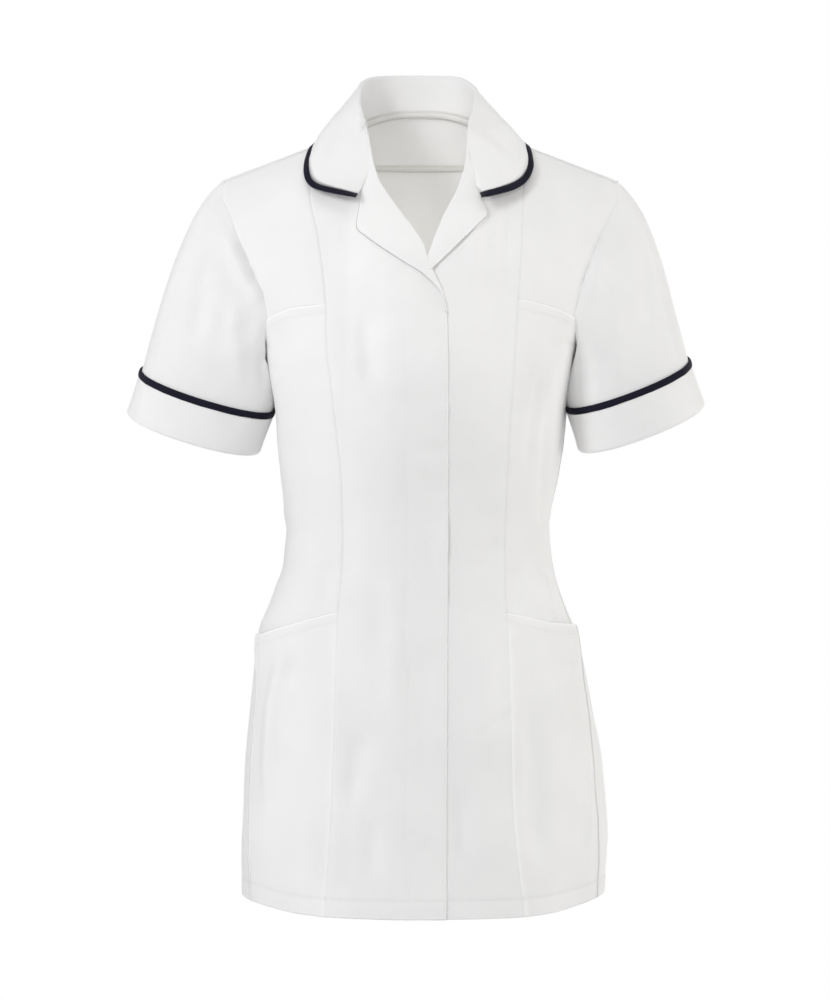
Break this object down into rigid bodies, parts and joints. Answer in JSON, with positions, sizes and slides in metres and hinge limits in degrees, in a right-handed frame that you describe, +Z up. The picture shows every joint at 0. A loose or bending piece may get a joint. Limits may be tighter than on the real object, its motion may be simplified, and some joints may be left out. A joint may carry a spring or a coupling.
{
  "type": "medical tunic",
  "caption": "Women's short-sleeved nurse's tunic with a round bound collar, revere lapels, concealed front fastening, princess seams and set-in pockets.",
  "frame": {"origin": "midway between the two points where the shoulder seams meet the neck seam", "axes": "+Z up, the front faces -Y, +X to the wearer's left"},
  "size_m": [0.5638, 0.2498, 0.812],
  "materials": {
    "white_cloth": "matte poly-cotton twill",
    "navy_binding": "matte poly-cotton binding",
    "stud_metal": "satin"
  },
  "bodies": {
    "root": {"back": "white_cloth", "back_facing": "white_cloth", "collar_fall": "white_cloth", "collar_stand": "white_cloth", "collar_trim": "navy_binding", "cuff_left": "white_cloth", "cuff_right": "white_cloth", "cuff_trim_left": "navy_binding", "cuff_trim_right": "navy_binding", "front_left": "white_cloth", "front_right": "white_cloth", "lapel_left": "white_cloth", "lapel_right": "white_cloth", "press_stud_1": "stud_metal", "press_stud_2": "stud_metal", "press_stud_3": "stud_metal", "press_stud_4": "stud_metal", "press_stud_5": "stud_metal", "side_front_lower_left": "white_cloth", "side_front_lower_right": "white_cloth", "side_front_middle_left": "white_cloth", "side_front_middle_right": "white_cloth", "side_front_upper_left": "white_cloth", "side_front_upper_right": "white_cloth", "sleeve_left": "white_cloth", "sleeve_right": "white_cloth"}
  },
  "joints": []
}
